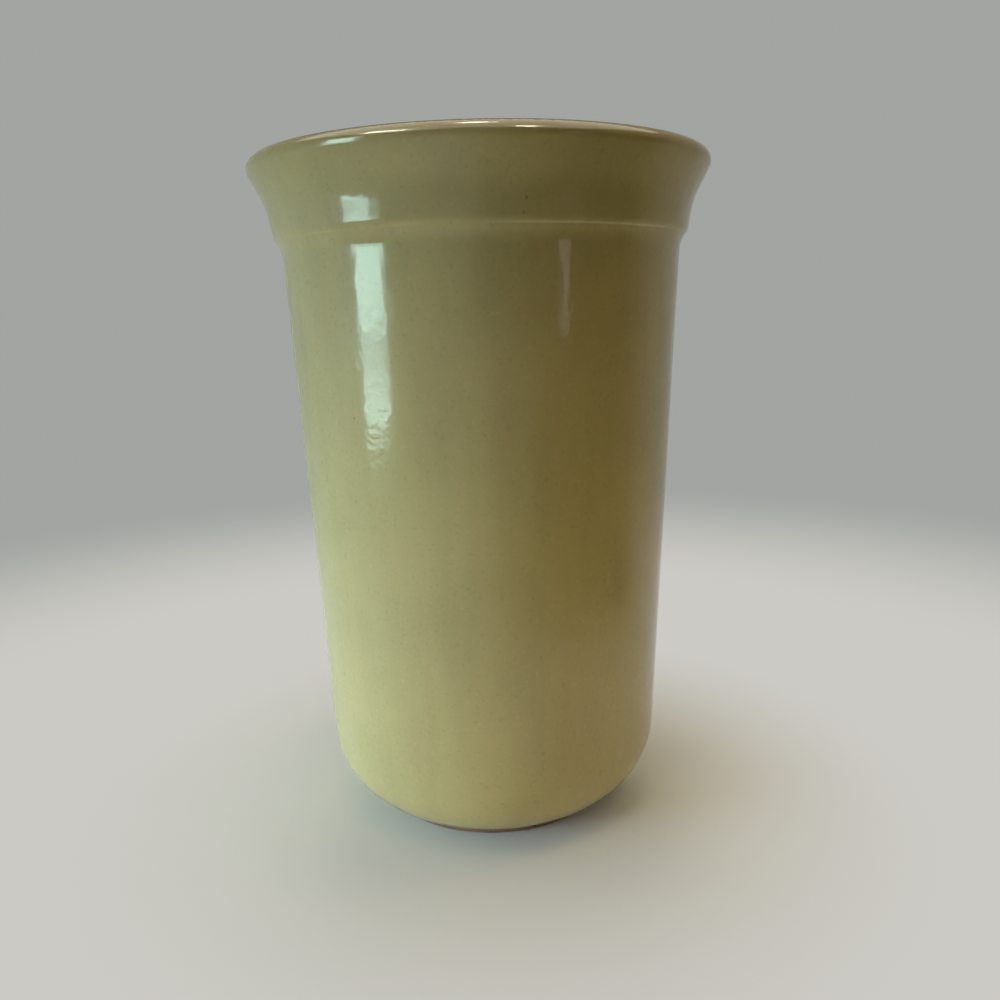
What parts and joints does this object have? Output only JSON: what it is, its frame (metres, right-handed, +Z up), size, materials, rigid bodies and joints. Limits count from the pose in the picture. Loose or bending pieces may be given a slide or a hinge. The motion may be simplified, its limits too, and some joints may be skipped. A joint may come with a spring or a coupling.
{
  "type": "utensil crock",
  "caption": "Tall round stoneware crock for kitchen tools, tapering to a rounded base, with a ridged collar, flared rounded lip and pale butter-yellow gloss glaze.",
  "frame": {"origin": "middle of the foot ring, in the plane of the table that it stands on", "axes": "+Z up along the axis that the crock is turned about, from the foot to the mouth; X and Y are alike, because every section is round"},
  "size_m": [0.1296, 0.1296, 0.19],
  "materials": {
    "fired_clay": "unglazed stoneware, matt, fine grit",
    "butter_glaze": "clear gloss over pale butter yellow, fine specks",
    "brown_break_glaze": "gloss, worn thin so that the clay's brown shows",
    "liner_glaze": "gloss",
    "underside_glaze": "gloss, thin"
  },
  "bodies": {
    "root": {"stoneware_body": "fired_clay", "outer_glaze": "butter_glaze", "crest_glaze": "brown_break_glaze", "liner_glaze": "liner_glaze", "underside_glaze": "underside_glaze"}
  },
  "joints": []
}
